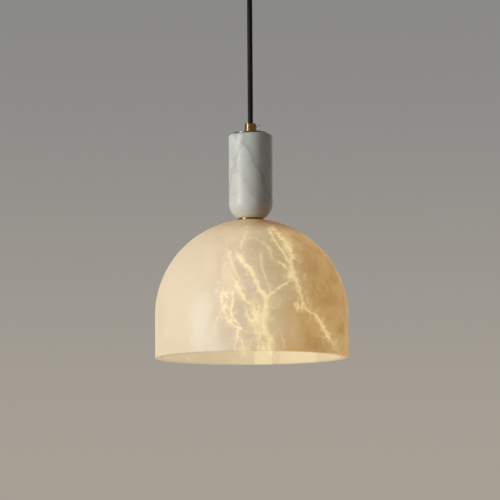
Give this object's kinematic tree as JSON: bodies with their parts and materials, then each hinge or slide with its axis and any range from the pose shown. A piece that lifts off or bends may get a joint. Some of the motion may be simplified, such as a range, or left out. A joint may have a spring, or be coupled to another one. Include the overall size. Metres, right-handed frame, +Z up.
{
  "type": "pendant light",
  "caption": "Ceiling pendant with a domed translucent stone shade under a turned marble column, hung on a black cord from a round canopy, with a screw-in globe bulb.",
  "frame": {"origin": "middle of the bracket's ceiling face, on the light's axis", "axes": "+Z up out of the ceiling face, with the light hanging along -Z; +X along the bracket, on the side of the grips' screw heads; the picture looks along +Y"},
  "size_m": [0.2, 0.2, 0.4191],
  "materials": {
    "marble": "polished white marble with soft grey veins",
    "alabaster": "honed warm translucent stone with pale cracks, lit from inside",
    "aged_brass": "aged brass, satin",
    "bright_brass": "plain brass",
    "zinc_steel": "zinc-plated steel",
    "clear_nylon": "clear moulded nylon",
    "black_cord": "smooth black sheath",
    "brown_wire": "brown insulation",
    "blue_wire": "blue insulation",
    "earth_wire": "green and yellow insulation",
    "block_plastic": "moulded white plastic",
    "black_rubber": "soft black rubber",
    "porcelain": "white porcelain",
    "opal_globe": "opal diffuser, lit",
    "bulb_white": "white moulded body",
    "bulb_metal": "nickel-plated",
    "bulb_black": "black insulator",
    "led_board": "white-faced aluminium board",
    "led_chip": "yellow phosphor, lit"
  },
  "bodies": {
    "ceiling_mount": {"ceiling_bracket": "zinc_steel", "canopy": "aged_brass", "canopy_studs": "zinc_steel", "canopy_nuts": "aged_brass", "canopy_cord_grip": "aged_brass", "canopy_grip_nut": "zinc_steel", "terminal_block": "block_plastic", "terminal_sleeves": "bright_brass", "terminal_screws": "zinc_steel", "terminal_block_screw": "zinc_steel", "earth_screw": "bright_brass", "earth_tag": "bright_brass", "canopy_live_wire": "brown_wire", "canopy_neutral_wire": "blue_wire", "canopy_earth_wire": "earth_wire", "cord_top_end": "black_cord"},
    "canopy_grip_screw": {"canopy_grip_screw": "clear_nylon"},
    "cord": {"cord": "black_cord"},
    "cord_bottom_end": {"cord_bottom_end": "black_cord"},
    "lamp": {"lamp_cord_grip": "aged_brass", "top_plate": "aged_brass", "marble_column": "marble", "collar_ring": "aged_brass", "collar_gasket": "black_rubber", "threaded_tube": "zinc_steel", "shade": "alabaster", "shade_gasket": "black_rubber", "clamp_washer": "zinc_steel", "clamp_nut": "zinc_steel", "lampholder_entry": "aged_brass", "lampholder_cap": "aged_brass", "lampholder_barrel": "aged_brass", "lampholder_core": "porcelain", "lampholder_terminal_screws": "bright_brass", "lampholder_earth_screw": "bright_brass", "lampholder_screw_shell": "bright_brass", "lampholder_centre_contact": "bright_brass", "lampholder_live_wire": "brown_wire", "lampholder_neutral_wire": "blue_wire", "lampholder_earth_wire": "earth_wire"},
    "lamp_grip_screw": {"lamp_grip_screw": "clear_nylon"},
    "bulb_contact": {"bulb_contact": "bulb_metal"},
    "bulb": {"bulb_insulator": "bulb_black", "bulb_screw_cap": "bulb_metal", "bulb_housing": "bulb_white", "bulb_led_board": "led_board", "bulb_leds": "led_chip", "bulb_globe": "opal_globe"}
  },
  "joints": [
    {"name": "canopy_grip_screw_turn", "type": "hinge", "parent": "ceiling_mount", "child": "canopy_grip_screw", "pos_m": [0, 0, -0.03478], "axis": [1, 0, 0], "range_deg": [0, 720]},
    {"name": "cord_swing", "type": "hinge", "parent": "ceiling_mount", "child": "cord", "pos_m": [0, 0, -0.0383], "axis": [0, 1, 0], "range_deg": [-30, 30]},
    {"name": "lamp_tilt", "type": "hinge", "parent": "cord", "child": "cord_bottom_end", "pos_m": [0, 0, -0.1763], "axis": [1, 0, 0], "range_deg": [-20, 20]},
    {"name": "lamp_turn", "type": "hinge", "parent": "cord_bottom_end", "child": "lamp", "pos_m": [0, 0, -0.1763], "axis": [0, 0, 1], "range_deg": [-180, 180]},
    {"name": "lamp_grip_screw_turn", "type": "hinge", "parent": "lamp", "child": "lamp_grip_screw", "pos_m": [0, 0, -0.17982], "axis": [1, 0, 0], "range_deg": [0, 720]},
    {"name": "bulb_travel", "type": "slide", "parent": "lamp", "child": "bulb_contact", "axis": [0, 0, -1], "range_m": [0, 0.01815]},
    {"name": "bulb_turn", "type": "hinge", "parent": "bulb_contact", "child": "bulb", "pos_m": [0, 0, -0.39794], "axis": [0, 0, -1], "range_deg": [0, 1801]}
  ],
  "couplings": [
    {"joint": "bulb_turn", "follows": "bulb_travel", "rad_per_m": 1731.4}
  ]
}
